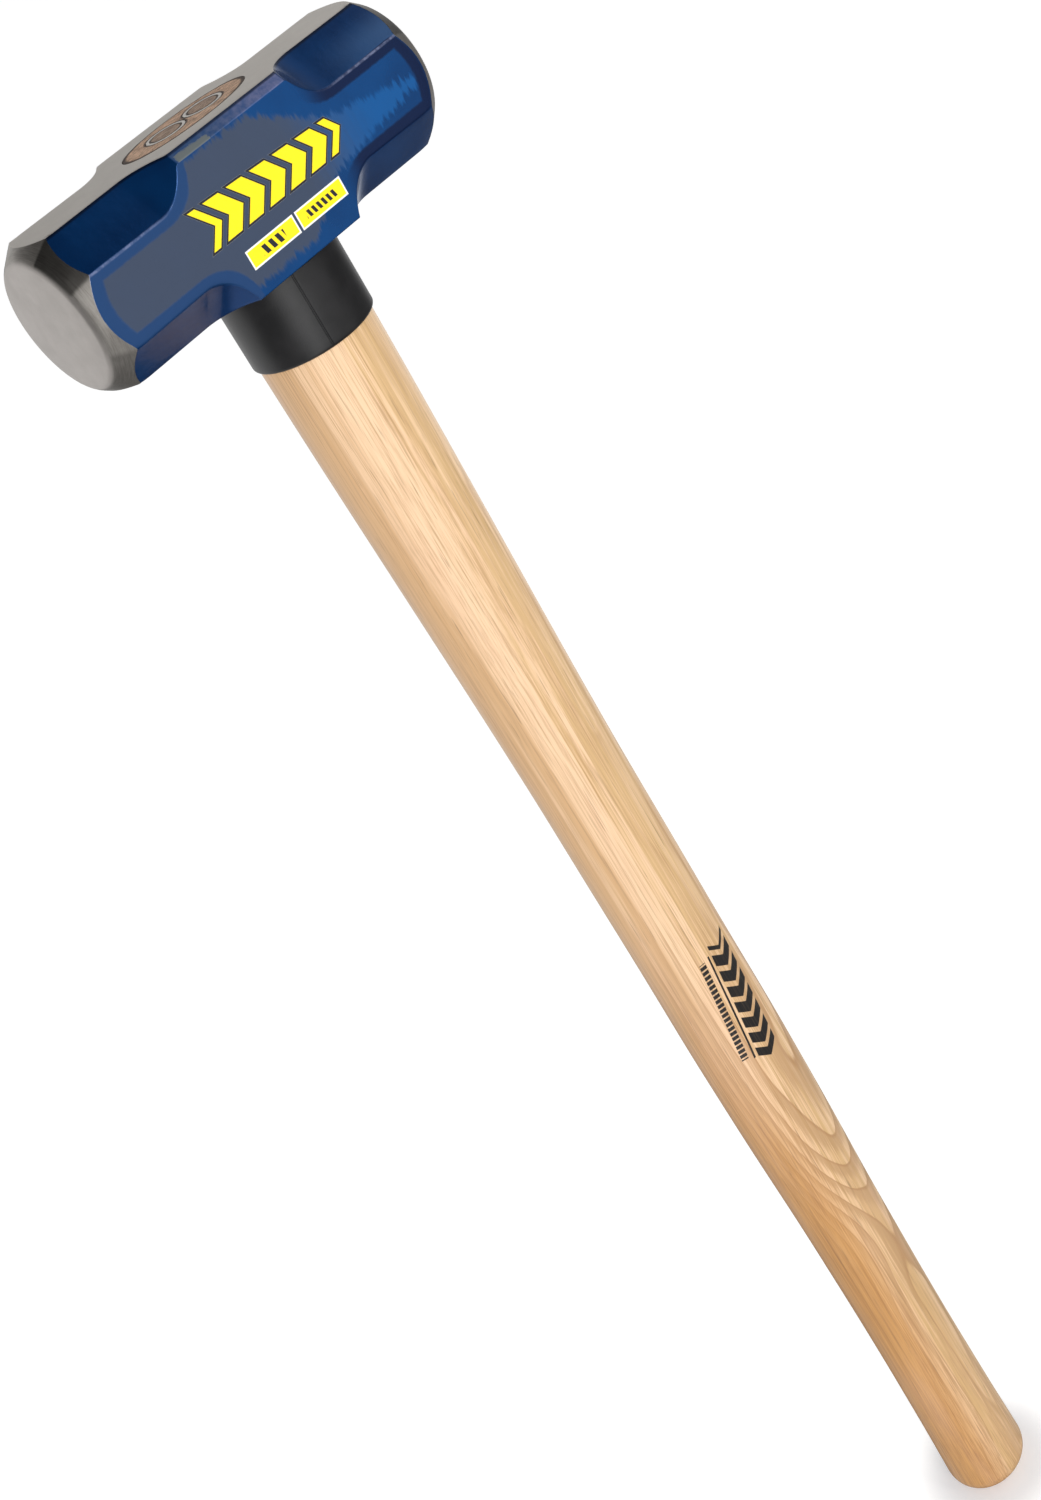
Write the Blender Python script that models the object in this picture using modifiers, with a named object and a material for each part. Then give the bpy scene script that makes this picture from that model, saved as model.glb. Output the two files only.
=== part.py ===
"""A six-pound, double-faced sledgehammer on a thirty-inch hickory handle.

The handle stands along Z with the head on top, and the head's striking axis lies along X.
The origin is on the handle's axis, where the lower hand grips it.  Run it with:
    blender --background --python part.py
"""
import math

import bmesh
import bpy
import numpy as np
from mathutils import Matrix, Vector

MM = 0.001
GAP = 0.3 * MM                      # clearance kept between pieces that touch

# ---- driving dimensions -------------------------------------------------------------------
OVERALL_LENGTH = 762.0 * MM         # top of the head to the end of the butt: thirty inches
GRIP_ABOVE_BUTT = 120.0 * MM        # middle of the lower hand

HEAD_LENGTH = 156.4 * MM
HEAD_WIDTH = 52.6 * MM              # across the cheeks, along Y
HEAD_HEIGHT = 53.6 * MM             # from the collar's seat to the top, along Z
BLOCK_HALF_LENGTH = 23.5 * MM       # the square block around the eye
TOP_EDGE_CHAMFER = 3.2 * MM
BEVEL_DEPTH = 9.7 * MM              # how far each corner bevel cuts in from the square corner
BEVEL_RISE = 0.5 * MM               # the bevels run out this much shallower at the faces
SCOOP_RADIUS = 17.0 * MM            # a bevel's arched inner end

FACE_RADIUS = 23.6 * MM             # the round striking face inside its ground chamfer
FACE_FLAT_RADIUS = 11.0 * MM
FACE_CROWN = 0.9 * MM
CHAMFER_RUN = 1.33                  # along the head for each unit outward on the end cone

EYE_TOP = (26.4 * MM, 14.4 * MM)    # half length and half width of the eye, flared at the top
EYE_BOTTOM = (21.6 * MM, 13.4 * MM)
EYE_FLARE_HEIGHT = 34.0 * MM        # the flare takes up this much of the eye below the top
EYE_FLARE_POWER = 1.4               # above 1 the flare opens faster towards the top
EYE_STEPS = 5

COLLAR_HEIGHT = 29.0 * MM
COLLAR_RADIUS = 23.8 * MM
COLLAR_EDGE = 1.2 * MM
SHOULDER_HEIGHT = 12.0 * MM         # the handle swells from the eye to its full round in this
SHOULDER_STEPS = 6
SHOULDER_DROP = 2.0 * MM            # from the head down to the shoulder's upper end

RING_RADIUS = 7.4 * MM
RING_WALL = 1.2 * MM
RING_EDGE = 0.5 * MM                # wall left at the driven edge
RING_DEPTH = 19.0 * MM
RING_CENTRES = {"ring_wedge_left": (-7.7 * MM, 1.0 * MM), "ring_wedge_right": (9.1 * MM, 1.0 * MM)}

# Handle: height above the butt, half width along the striking axis, half width across it.
HANDLE_SECTIONS = [
    (18.0, 21.0, 19.0), (47.0, 20.3, 18.3), (104.0, 19.5, 17.5), (144.0, 19.3, 17.4),
    (208.0, 19.6, 17.6), (268.0, 20.7, 18.6), (325.0, 21.0, 19.0), (377.0, 20.4, 18.7),
    (427.0, 20.3, 18.8), (474.0, 20.0, 18.8), (519.0, 20.3, 19.4), (561.0, 20.9, 20.3),
    (601.0, 21.5, 21.0), (639.0, 22.0, 21.8), (680.0, 22.3, 22.3),
]
BUTT_ROUND = 13.0 * MM
BUTT_SECTION = (21.1 * MM, 19.1 * MM)
EASING_REACH = 24.0 * MM            # half of the length over which the listed widths are averaged
EVEN_FROM = 36.0 * MM               # height above the butt where the averaged widths take over

RING_POINTS = 44                    # points round each handle, eye and collar section
HANDLE_STEPS = 22                   # sections up the length of the handle
BUTT_STEPS = 7
HEAD_STEPS = 72                     # turned steps round the striking faces
FACE_STEPS = 4
SCOOP_STEPS = 10
RING_STEPS = 40
SMOOTH_BELOW = 32.0                 # degrees: shallower edges are shaded smooth
CUTTER_SPARE = 5.0 * MM             # how far cutters stand clear of what they cut

# ---- worked-out places --------------------------------------------------------------------
BUTT_Z = -GRIP_ABOVE_BUTT
HEAD_TOP = BUTT_Z + OVERALL_LENGTH
HEAD_Z = HEAD_TOP - HEAD_HEIGHT / 2
HEAD_BOTTOM = HEAD_TOP - HEAD_HEIGHT
COLLAR_TOP = HEAD_BOTTOM - GAP
COLLAR_BOTTOM = COLLAR_TOP - COLLAR_HEIGHT


def new_collection(name):
    collection = bpy.data.collections.new(name)
    bpy.context.scene.collection.children.link(collection)
    return collection


def make_material(name, colour, roughness, metallic):
    material = bpy.data.materials.new(name)
    material.use_nodes = True
    shader = material.node_tree.nodes["Principled BSDF"]
    shader.inputs["Base Color"].default_value = (*colour, 1.0)
    shader.inputs["Roughness"].default_value = roughness
    shader.inputs["Metallic"].default_value = metallic
    return material


def add_object(name, bm, collection, material=None):
    """Make an object from a bmesh; one with no material is a cutter."""
    mesh = bpy.data.meshes.new(name)
    bm.to_mesh(mesh)
    bm.free()
    obj = bpy.data.objects.new(name, mesh)
    collection.objects.link(obj)
    if material:
        mesh.materials.append(material)
    else:
        obj.hide_render = True
        obj.display_type = "WIRE"
    return obj


def boolean(obj, cutter, operation="DIFFERENCE"):
    modifier = obj.modifiers.new(cutter.name, "BOOLEAN")
    modifier.operation = operation
    modifier.object = cutter
    modifier.solver = "EXACT"


def box(size, centre=(0.0, 0.0, 0.0)):
    bm = bmesh.new()
    bmesh.ops.create_cube(bm, size=1.0)
    bmesh.ops.transform(bm, matrix=Matrix.Translation(centre) @ Matrix.Diagonal((*size, 1.0)), verts=bm.verts)
    return bm


def loft(sections):
    """Close a skin over oval sections, each (z, half length, half width), listed from the bottom up."""
    bm = bmesh.new()
    turns = [2 * math.pi * i / RING_POINTS for i in range(RING_POINTS)]
    rings = [[bm.verts.new((a * math.cos(t), b * math.sin(t), z)) for t in turns] for z, a, b in sections]
    for lower, upper in zip(rings, rings[1:]):
        for i in range(RING_POINTS):
            j = (i + 1) % RING_POINTS
            bm.faces.new((lower[i], lower[j], upper[j], upper[i]))
    bm.faces.new(reversed(rings[0]))
    bm.faces.new(rings[-1])
    bmesh.ops.recalc_face_normals(bm, faces=bm.faces)
    return bm


def turned(name, profile, steps, collection, closed=False, material=None):
    """Turn a profile of (radius, height) points round Z with a Screw modifier."""
    bm = bmesh.new()
    verts = [bm.verts.new((radius, 0.0, height)) for radius, height in profile]
    for start, end in zip(verts, verts[1:]):
        bm.edges.new((start, end))
    if closed:
        bm.edges.new((verts[-1], verts[0]))
    obj = add_object(name, bm, collection, material)
    screw = obj.modifiers.new("turn", "SCREW")
    screw.steps = screw.render_steps = steps
    screw.use_merge_vertices = True
    screw.merge_threshold = 0.00001
    return obj


def prism(outline, half_depth):
    """Extrude an outline in the XZ plane both ways along Y."""
    bm = bmesh.new()
    face = bm.faces.new([bm.verts.new((x, -half_depth, z)) for x, z in outline])
    extruded = bmesh.ops.extrude_face_region(bm, geom=[face])["geom"]
    moved = [item for item in extruded if isinstance(item, bmesh.types.BMVert)]
    bmesh.ops.translate(bm, vec=(0.0, 2 * half_depth, 0.0), verts=moved)
    bmesh.ops.recalc_face_normals(bm, faces=bm.faces)
    return bm


def finish(obj):
    """Apply the modifiers, then shade smoothly across every edge that turns only a little."""
    evaluated = obj.evaluated_get(bpy.context.evaluated_depsgraph_get())
    mesh = bpy.data.meshes.new_from_object(evaluated)
    obj.modifiers.clear()
    obj.data = mesh
    mesh.shade_smooth()
    mesh.set_sharp_from_angle(angle=math.radians(SMOOTH_BELOW))


# ---- head ---------------------------------------------------------------------------------
def bevel_outline():
    """Side view of one corner bevel's cutter, measured from the square corner at height 0."""
    end = HEAD_LENGTH / 2
    start = BLOCK_HALF_LENGTH + math.sqrt(2 * SCOOP_RADIUS * BEVEL_DEPTH - BEVEL_DEPTH ** 2)
    last_angle = math.acos(1 - BEVEL_DEPTH / SCOOP_RADIUS)
    points = [(end + CUTTER_SPARE, -BEVEL_DEPTH + BEVEL_RISE)]
    for i in range(SCOOP_STEPS + 1):
        angle = last_angle * i / SCOOP_STEPS
        x = start - SCOOP_RADIUS * math.sin(angle)
        points.append((x, -BEVEL_DEPTH + SCOOP_RADIUS * (1 - math.cos(angle))))
    last_x, last_z = points[-1]
    slope = math.tan(last_angle)
    over = 0.6 * CUTTER_SPARE
    points.append((last_x - over / slope, last_z + over))
    points.append((end + CUTTER_SPARE, over))
    return points


def cut_bevels(head, cutters):
    outline = bevel_outline()
    for side in (-1, 1):
        for up in (-1, 1):
            for end in (-1, 1):
                bm = prism([(end * x, z) for x, z in outline], HEAD_WIDTH)
                corner = Vector((0.0, side * HEAD_WIDTH / 2, up * HEAD_HEIGHT / 2))
                lean = math.atan2(-side, up)
                bmesh.ops.transform(
                    bm, matrix=Matrix.Translation(corner) @ Matrix.Rotation(lean, 4, "X"), verts=bm.verts)
                bmesh.ops.recalc_face_normals(bm, faces=bm.faces)
                name = f"bevel_cutter_{side}_{up}_{end}".replace("-1", "m")
                cutter = add_object(name, bm, cutters)
                cutter.location = (0.0, 0.0, HEAD_Z)
                boolean(head, cutter)


def chamfer_top_edges(head, cutters):
    for side in (-1, 1):
        size = TOP_EDGE_CHAMFER * math.sqrt(2)
        bm = box((HEAD_LENGTH * 1.1, size, size))
        corner = Vector((0.0, side * HEAD_WIDTH / 2, HEAD_HEIGHT / 2))
        turn = Matrix.Rotation(math.radians(45), 4, "X")
        bmesh.ops.transform(bm, matrix=Matrix.Translation(corner) @ turn, verts=bm.verts)
        cutter = add_object(f"edge_cutter_{'front' if side < 0 else 'back'}", bm, cutters)
        cutter.location = (0.0, 0.0, HEAD_Z)
        boolean(head, cutter)


def end_profile():
    """Half of the turned envelope: crowned face, end cone, then a barrel clear of the body."""
    half = HEAD_LENGTH / 2
    barrel = 0.8 * HEAD_WIDTH
    face = [(0.0, half), (FACE_FLAT_RADIUS, half)]
    span = FACE_RADIUS - FACE_FLAT_RADIUS
    for i in range(1, FACE_STEPS + 1):
        part = i / FACE_STEPS
        face.append((FACE_FLAT_RADIUS + span * part, half - FACE_CROWN * part ** 2))
    face.append((barrel, half - FACE_CROWN - (barrel - FACE_RADIUS) * CHAMFER_RUN))
    return face


def build_head(parts, cutters, material):
    bm = box((HEAD_LENGTH, HEAD_WIDTH, HEAD_HEIGHT))
    head = add_object("head", bm, parts, material)
    head.location = (0.0, 0.0, HEAD_Z)
    cut_bevels(head, cutters)
    chamfer_top_edges(head, cutters)

    half_profile = end_profile()
    profile = half_profile + [(radius, -height) for radius, height in reversed(half_profile)]
    envelope = turned("end_envelope", profile, HEAD_STEPS, cutters)
    envelope.location = (0.0, 0.0, HEAD_Z)
    envelope.rotation_euler = (0.0, math.radians(90), 0.0)
    boolean(head, envelope, "INTERSECT")

    eye = add_object("eye_cutter", loft(eye_sections(0.0, 1.0 * MM)), cutters)
    boolean(head, eye)
    finish(head)
    return head


def eye_sections(inset, overrun):
    """The eye from its straight lower part to the flared top, drawn in by an inset all round."""
    low = (EYE_BOTTOM[0] - inset, EYE_BOTTOM[1] - inset)
    high = (EYE_TOP[0] - inset, EYE_TOP[1] - inset)
    sections = [(HEAD_BOTTOM - overrun, *low)]
    for i in range(EYE_STEPS + 1):
        part = i / EYE_STEPS
        ease = part ** EYE_FLARE_POWER
        z = HEAD_TOP - EYE_FLARE_HEIGHT * (1 - part)
        sections.append((z, low[0] + (high[0] - low[0]) * ease, low[1] + (high[1] - low[1]) * ease))
    if overrun:
        sections.append((HEAD_TOP + overrun, *high))
    return sections


# ---- handle -------------------------------------------------------------------------------
def handle_width(height):
    """Half widths at a height above the butt, along straight lines between the listed sections."""
    known = np.array(HANDLE_SECTIONS) * MM
    return [float(np.interp(height, known[:, 0], known[:, k])) for k in (1, 2)]


def smoothed_width(height):
    """Half widths averaged over a stretch of the handle, so the listed sections leave no corners."""
    window = np.linspace(-EASING_REACH, EASING_REACH, 9)
    weights = np.cos(window / EASING_REACH * math.pi / 2 * 0.9)
    values = np.array([handle_width(height + step) for step in window])
    return tuple(float(v) for v in weights @ values / weights.sum())


def handle_sections():
    """The handle's sections from the butt up to where it enters the head."""
    sections = []
    flat = (BUTT_SECTION[0] - BUTT_ROUND, BUTT_SECTION[1] - BUTT_ROUND)
    for i in range(BUTT_STEPS):
        angle = math.pi / 2 * i / BUTT_STEPS
        grown = BUTT_ROUND * math.sin(angle)
        sections.append((BUTT_Z + BUTT_ROUND * (1 - math.cos(angle)), flat[0] + grown, flat[1] + grown))
    sections.append((BUTT_Z + BUTT_ROUND, *BUTT_SECTION))
    shoulder_start = HEAD_BOTTOM - BUTT_Z - SHOULDER_HEIGHT - SHOULDER_DROP
    for height in np.linspace(EVEN_FROM, shoulder_start, HANDLE_STEPS):
        a, b = smoothed_width(float(height))
        sections.append((BUTT_Z + float(height), a, b))
    wide = sections[-1][1:]
    low = (EYE_BOTTOM[0] - GAP, EYE_BOTTOM[1] - GAP)
    for i in range(1, SHOULDER_STEPS + 1):
        ease = 0.5 - 0.5 * math.cos(math.pi * i / SHOULDER_STEPS)
        z = BUTT_Z + shoulder_start + SHOULDER_HEIGHT * i / SHOULDER_STEPS
        sections.append((z, wide[0] + (low[0] - wide[0]) * ease, wide[1] + (low[1] - wide[1]) * ease))
    return sections


def ring_profile(grown=0.0):
    """Section of a ring wedge: full wall at the top, thin at the driven edge."""
    top = HEAD_TOP + (1.0 * MM if grown else 0.0)
    bottom = HEAD_TOP - RING_DEPTH - grown
    middle = RING_RADIUS - RING_WALL / 2
    half_top = RING_WALL / 2 + grown
    half_bottom = RING_EDGE / 2 + grown
    return [(middle + half_top, top), (middle + half_bottom, bottom),
            (middle - half_bottom, bottom), (middle - half_top, top)]


def build_handle(parts, cutters, material):
    tongue = [s for s in eye_sections(GAP, 0.0) if s[0] > HEAD_BOTTOM + 1 * MM]
    handle = add_object("handle", loft(handle_sections() + tongue), parts, material)
    for name, (x, y) in RING_CENTRES.items():
        slot = turned(name + "_slot", ring_profile(GAP), RING_STEPS, cutters, closed=True)
        slot.location = (x, y, 0.0)
        boolean(handle, slot)
    finish(handle)
    return handle


def build_ring_wedges(parts, material):
    for name, (x, y) in RING_CENTRES.items():
        ring = turned(name, ring_profile(), RING_STEPS, parts, closed=True, material=material)
        ring.location = (x, y, 0.0)
        finish(ring)


# ---- collar -------------------------------------------------------------------------------
def build_collar(parts, cutters, material):
    """A moulded sleeve that fits the handle's shoulder and takes the overstrikes."""
    shoulder = COLLAR_EDGE * (1 - math.sqrt(0.5))       # halfway round the rounded lower edge
    outside = [
        (COLLAR_BOTTOM, COLLAR_RADIUS - COLLAR_EDGE, COLLAR_RADIUS - COLLAR_EDGE),
        (COLLAR_BOTTOM + shoulder, COLLAR_RADIUS - shoulder, COLLAR_RADIUS - shoulder),
        (COLLAR_BOTTOM + COLLAR_EDGE, COLLAR_RADIUS, COLLAR_RADIUS),
        (COLLAR_TOP, COLLAR_RADIUS, COLLAR_RADIUS),
    ]
    collar = add_object("collar", loft(outside), parts, material)
    inside = [(z, a + GAP, b + GAP) for z, a, b in handle_sections() if z > COLLAR_BOTTOM - COLLAR_HEIGHT]
    last = inside[-1]
    inside.append((HEAD_BOTTOM + CUTTER_SPARE, last[1], last[2]))
    bore = add_object("collar_bore", loft(inside), cutters)
    boolean(collar, bore)
    finish(collar)
    return collar


def main():
    for obj in list(bpy.data.objects):
        bpy.data.objects.remove(obj, do_unlink=True)
    parts = new_collection("sledgehammer")
    cutters = new_collection("cutters")
    build_head(parts, cutters, make_material("blue_paint", (0.01, 0.07, 0.24), 0.25, 0.0))
    build_handle(parts, cutters, make_material("hickory", (0.70, 0.47, 0.24), 0.45, 0.0))
    build_ring_wedges(parts, make_material("wedge_steel", (0.60, 0.58, 0.55), 0.35, 1.0))
    build_collar(parts, cutters, make_material("black_rubber", (0.015, 0.015, 0.016), 0.5, 0.0))


main()
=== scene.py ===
"""Looks for a six-pound, double-faced sledgehammer: blue painted head, hickory handle, rubber collar."""
import math

import bmesh
import bpy
import numpy as np
from mathutils import Matrix, Vector


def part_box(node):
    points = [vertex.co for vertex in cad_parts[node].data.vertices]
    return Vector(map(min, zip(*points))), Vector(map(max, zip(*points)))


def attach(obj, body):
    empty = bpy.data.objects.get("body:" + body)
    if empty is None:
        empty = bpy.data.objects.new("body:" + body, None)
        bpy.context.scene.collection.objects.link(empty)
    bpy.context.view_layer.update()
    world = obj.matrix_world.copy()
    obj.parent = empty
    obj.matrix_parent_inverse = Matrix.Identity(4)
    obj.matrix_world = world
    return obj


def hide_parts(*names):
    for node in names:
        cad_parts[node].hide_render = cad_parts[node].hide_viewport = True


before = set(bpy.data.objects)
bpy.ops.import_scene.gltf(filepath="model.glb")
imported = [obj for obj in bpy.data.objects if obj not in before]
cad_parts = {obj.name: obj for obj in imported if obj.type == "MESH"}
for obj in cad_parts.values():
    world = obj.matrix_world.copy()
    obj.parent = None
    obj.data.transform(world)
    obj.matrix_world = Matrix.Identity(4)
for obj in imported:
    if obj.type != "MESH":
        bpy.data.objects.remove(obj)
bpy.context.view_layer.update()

MM = 0.001
DEGREES = 57.3                      # in one radian
ROUND_POINTS = 112                  # points round each section of the handle and collar
SHARP_EDGE = 35.0                   # degrees: shallower edges are shaded smooth

# ---- Head ---------------------------------------------------------------------------------------
# A drop-forged steel head: a square block round the eye, and two arms whose corners are bevelled
# to near octagons that end in arched scoops.  It is painted blue all over, and then its top, its
# end cones and its round, slightly crowned striking faces are ground bare.
head_low, head_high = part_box("head")
HEAD_Z = (head_low.z + head_high.z) / 2
HEAD_TOP = head_high.z
HALF_LENGTH = (head_high.x - head_low.x) / 2
HALF_WIDTH = (head_high.y - head_low.y) / 2
HALF_HEIGHT = (head_high.z - head_low.z) / 2
BLOCK_HALF_LENGTH = 23.5 * MM
TOP_EDGE_CHAMFER = 3.2 * MM
CHAMFER_BLEND = 1.6 * MM            # the scoops run into the block's chamfer over about this much
LOW_EDGE_CHAMFER = 0.35 * MM
BEVEL_DEPTH = 9.7 * MM
BEVEL_RISE = 0.5 * MM
SCOOP_RADIUS = 17.0 * MM
SCOOP_START = BLOCK_HALF_LENGTH + math.sqrt(2 * SCOOP_RADIUS * BEVEL_DEPTH - BEVEL_DEPTH ** 2)
FACE_RADIUS = 23.6 * MM
FACE_CROWN = 0.9 * MM
FACE_FLAT_RADIUS = 11.0 * MM
FACE_ROUNDING = 1.7 * MM            # half width of the soft rim between face and cone
CONE_RUN = 1.33                     # along the head for each unit outward on the end cone
ROLL_LENGTH = 5.0 * MM              # the painted flats dip a little over this length at the cone
ROLL_DROP = 0.22 * MM
ARM_END = 64.0 * MM                 # sections are square to the head up to here

EYE_TOP = (26.4 * MM, 14.4 * MM)
EYE_BOTTOM = (21.6 * MM, 13.4 * MM)
EYE_FLARE_HEIGHT = 34.0 * MM
EYE_FLARE_POWER = 1.4

BLUE = (0.0008, 0.078, 0.285)
BLUE_PAINTED_SHADE = (0.0004, 0.036, 0.150)
BLUE_REFLECTION_BAND_LIGHT = (0.022, 0.080, 0.235)
BLUE_REFLECTION_BAND_DARK = (0.001, 0.016, 0.080)
REFLECTION_GREY = (0.040, 0.056, 0.092)
REFLECTION_BLUE = (0.003, 0.120, 0.400)
REFLECTION_BEVEL = (0.050, 0.115, 0.240)
GLINT = (0.240, 0.270, 0.420)
EDGE_LILAC = (0.130, 0.150, 0.290)
EDGE_BLUE = (0.040, 0.080, 0.175)
BARE_STRIP = (0.135, 0.155, 0.160)
STEEL_TOP = (0.76, 0.71, 0.65)
STEEL_CONE = (0.50, 0.475, 0.44)
STEEL_FACE = (0.54, 0.505, 0.480)
YELLOW = (1.0, 0.76, 0.0)
INK = (0.010, 0.012, 0.020)


def bevel_depth(x):
    """How far the corner bevels cut in, square to their own face, at a distance x from the middle."""
    run = min(max((SCOOP_START - x) / SCOOP_RADIUS, 0.0), 1.0)
    rise = SCOOP_RADIUS * (1 - math.sqrt(1 - run ** 2))
    shallower = BEVEL_RISE * max(x - SCOOP_START, 0.0) / (HALF_LENGTH - SCOOP_START)
    return BEVEL_DEPTH - rise - shallower


def conic(start, corner, end, weight, steps):
    """Points on a conic arc that leans into its corner the more its weight is."""
    t = np.linspace(0.0, 1.0, steps + 1)[:, None]
    a, b, c = (1 - t) ** 2, 2 * weight * t * (1 - t), t ** 2
    return (a * start + b * corner + c * end) / (a + b + c)


FLAT_DIVISIONS = (10, 7, 10, 7, 10, 7, 10, 7)


def head_section(x):
    """The head's outline in YZ at x: eight flats joined by eased corners, always with as many points."""
    leg = bevel_depth(x) * math.sqrt(2)
    top = (leg + TOP_EDGE_CHAMFER + math.hypot(leg - TOP_EDGE_CHAMFER, CHAMFER_BLEND)) / 2
    low = max(bevel_depth(x) * math.sqrt(2), LOW_EDGE_CHAMFER)
    w, h = HALF_WIDTH, HALF_HEIGHT
    slope = (bevel_depth(x) - bevel_depth(x + 0.1 * MM)) / (0.1 * MM) * math.sqrt(2)
    steepness = min(math.hypot(1.0, slope), 2.4)
    corners = [
        (w, low - h, low, 1), (w, h - top, top, 1), (w - top, h, top, 0), (top - w, h, top, 0),
        (-w, h - top, top, 1), (-w, low - h, low, 1), (low - w, -h, low, 2), (w - low, -h, low, 2),
    ]
    places = [np.array(c[:2]) for c in corners]
    outline = []
    for i, (_, _, leg, kind) in enumerate(corners):
        here, before, after = places[i], places[i - 1], places[(i + 1) % 8]
        arm = min(max((leg - 4.5 * MM) / (6.0 * MM), 0.0), 1.0)
        on_flat = (1.0 + 2.2 * arm) * steepness * MM if kind == 1 else (0.35 if kind == 0 else 1.3) * MM
        on_bevel = (0.35 + 0.55 * arm) * MM if kind == 1 else (0.3 if kind == 0 else 0.9) * MM
        flat_first = i in (1, 3, 5, 7)
        reaches = (on_flat, on_bevel) if flat_first else (on_bevel, on_flat)
        to_before, to_after = before - here, after - here
        start = here + to_before * min(reaches[0] / np.linalg.norm(to_before), 0.46)
        end = here + to_after * min(reaches[1] / np.linalg.norm(to_after), 0.46)
        curve = conic(start, here, end, (1.0, 4.0, 1.4)[kind], 8 if kind == 1 else 4)
        if outline:
            fill = FLAT_DIVISIONS[i - 1]
            outline += [outline[-1] + (curve[0] - outline[-1]) * k / fill for k in range(1, fill)]
        outline += list(curve)
    fill = FLAT_DIVISIONS[7]
    outline += [outline[-1] + (outline[0] - outline[-1]) * k / fill for k in range(1, fill)]
    return np.array(outline)


def face_height(radius):
    """Distance from the head's middle to its turned end at a radius: crown, soft rim, then cone."""
    base = HALF_LENGTH - FACE_CROWN

    def hard(r):
        if r > FACE_RADIUS:
            return base - (r - FACE_RADIUS) * CONE_RUN
        part = max(r - FACE_FLAT_RADIUS, 0.0) / (FACE_RADIUS - FACE_FLAT_RADIUS)
        return HALF_LENGTH - FACE_CROWN * part ** 2

    if abs(radius - FACE_RADIUS) >= FACE_ROUNDING:
        return hard(radius)
    inner, outer = FACE_RADIUS - FACE_ROUNDING, FACE_RADIUS + FACE_ROUNDING
    t = (radius - inner) / (outer - inner)
    return (1 - t) ** 2 * hard(inner) + 2 * t * (1 - t) * base + t ** 2 * hard(outer)


def half_head():
    """Rings of points from the middle of the head to the edge of one striking face, then its centre."""
    last_angle = math.acos(1 - BEVEL_DEPTH / SCOOP_RADIUS)
    scoop = [SCOOP_START - SCOOP_RADIUS * math.sin(last_angle * i / 26) for i in range(26, -1, -1)]
    kinks = []
    for leg in (TOP_EDGE_CHAMFER, LOW_EDGE_CHAMFER):
        rise = BEVEL_DEPTH - leg / math.sqrt(2)
        kink = SCOOP_START - math.sqrt(SCOOP_RADIUS ** 2 - (SCOOP_RADIUS - rise) ** 2)
        kinks += [kink + step * MM for step in (-1.2, -0.6, -0.25, 0.0, 0.25, 0.6)]
    block = list(np.linspace(0.0, BLOCK_HALF_LENGTH, 9)[:-1])
    arm = list(np.linspace(SCOOP_START, ARM_END, 10)[1:])
    stations = sorted(set(block + kinks + scoop + arm))
    rings = []
    for x in stations:
        outline = head_section(x)
        rings.append(np.column_stack([np.full(len(outline), x), outline]))
    flat = head_section(ARM_END)
    radius = np.hypot(flat[:, 0], flat[:, 1])
    on_top = flat[:, 1] > HALF_HEIGHT - 0.01 * MM
    for part in (0.25, 0.5, 0.7, 0.85, 1.0):
        x_end = HALF_LENGTH - FACE_CROWN - (radius - ROLL_DROP * ~on_top - FACE_RADIUS) * CONE_RUN
        x = ARM_END + (x_end - ARM_END) * part
        dip = np.clip((x - (x_end - ROLL_LENGTH)) / ROLL_LENGTH, 0, 1) ** 2 * ROLL_DROP * ~on_top
        scale = 1 - dip / radius
        rings.append(np.column_stack([x, flat[:, 0] * scale, flat[:, 1] * scale]))
    rim = rings[-1][:, 1:]
    rim_radius = np.hypot(rim[:, 0], rim[:, 1])
    outer = FACE_RADIUS + FACE_ROUNDING
    radii = [rim_radius + (outer - rim_radius) * k / 5 for k in range(1, 6)]
    radii += [np.full(len(rim), r) for r in np.linspace(outer, FACE_RADIUS - FACE_ROUNDING, 9)[1:]]
    radii += [np.full(len(rim), r) for r in np.linspace(FACE_RADIUS - FACE_ROUNDING, 2.0 * MM, 12)[1:]]
    for ring_radius in radii:
        x = np.array([face_height(r) for r in ring_radius])
        rings.append(np.column_stack([x, rim * (ring_radius / rim_radius)[:, None]]))
    return rings


def skin(rings):
    """A closed bmesh over rings of equally many points, with a point at the middle of each end."""
    bm = bmesh.new()
    grid = [[bm.verts.new(point) for point in ring] for ring in rings]
    count = len(grid[0])
    for lower, upper in zip(grid, grid[1:]):
        for i in range(count):
            j = (i + 1) % count
            bm.faces.new((lower[i], lower[j], upper[j], upper[i]))
    for ring in (grid[0], grid[-1]):
        centre = bm.verts.new(sum((v.co for v in ring), Vector()) / count)
        for i in range(count):
            bm.faces.new((ring[i], ring[(i + 1) % count], centre))
    bmesh.ops.recalc_face_normals(bm, faces=bm.faces)
    return bm


def add_piece(name, bm):
    mesh = bpy.data.meshes.new(name)
    bm.to_mesh(mesh)
    bm.free()
    obj = bpy.data.objects.new(name, mesh)
    bpy.context.scene.collection.objects.link(obj)
    return obj


def settle(obj, degrees):
    """Apply the piece's modifiers and shade it smoothly across edges that turn less than the angle."""
    evaluated = obj.evaluated_get(bpy.context.evaluated_depsgraph_get())
    mesh = bpy.data.meshes.new_from_object(evaluated)
    obj.modifiers.clear()
    obj.data = mesh
    mesh.shade_smooth()
    mesh.set_sharp_from_angle(angle=math.radians(degrees))


def oval_rings(sections, points):
    """Rings for sections given as (z, half length, half width)."""
    turns = np.linspace(0.0, 2 * math.pi, points, endpoint=False)
    across, along = np.cos(turns), np.sin(turns)
    return [np.column_stack([a * across, b * along, np.full(points, z)]) for z, a, b in sections]


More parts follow.
